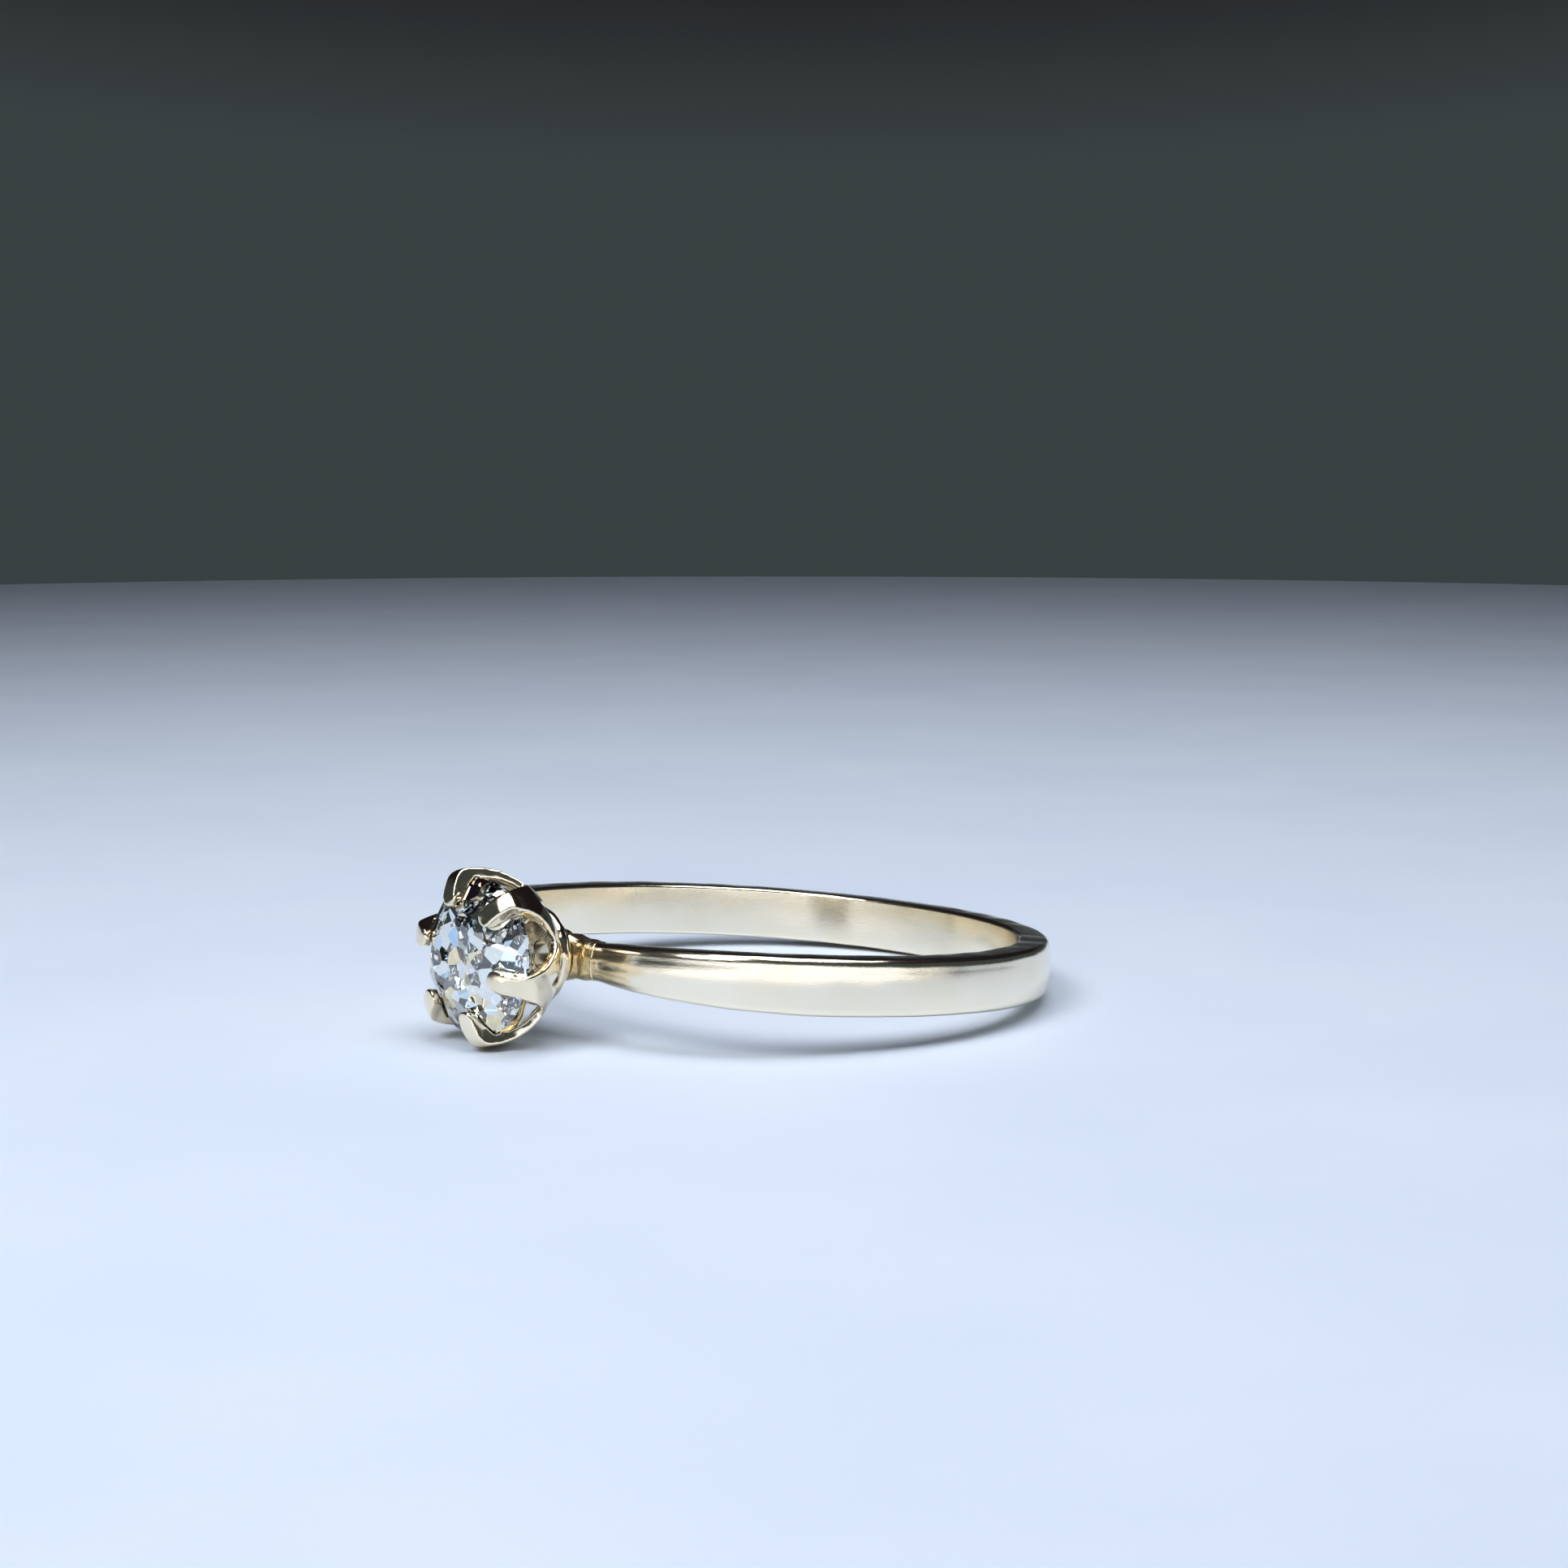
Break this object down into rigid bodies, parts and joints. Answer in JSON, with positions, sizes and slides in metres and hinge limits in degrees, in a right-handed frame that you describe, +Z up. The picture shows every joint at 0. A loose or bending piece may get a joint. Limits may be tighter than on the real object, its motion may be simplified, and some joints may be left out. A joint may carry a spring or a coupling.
{
  "type": "solitaire engagement ring",
  "caption": "Solitaire finger ring: a tapered band, a collared base and a pierced claw crown that holds a round old-cut stone, lying on its side.",
  "frame": {"origin": "centre of the bounding box in plan, at the height of the surface that the ring lies on", "axes": "+Z up from that surface; -X from the band out through the stone; +Y across the bore; the finger line leans about five degrees from +Z towards +X"},
  "size_m": [0.0218, 0.0194, 0.0054],
  "materials": {
    "white_gold": "polished white gold with fine wear scratches and a faint champagne tone",
    "gold_solder": "polished gold solder, a little yellower than the band",
    "diamond": "clear polished facets"
  },
  "bodies": {
    "root": {"shank": "white_gold", "base_ring": "white_gold", "crown_collet": "white_gold", "diamond": "diamond", "collet_solder": "gold_solder", "shoulder_solder_left": "gold_solder", "shoulder_solder_right": "gold_solder"}
  },
  "joints": []
}
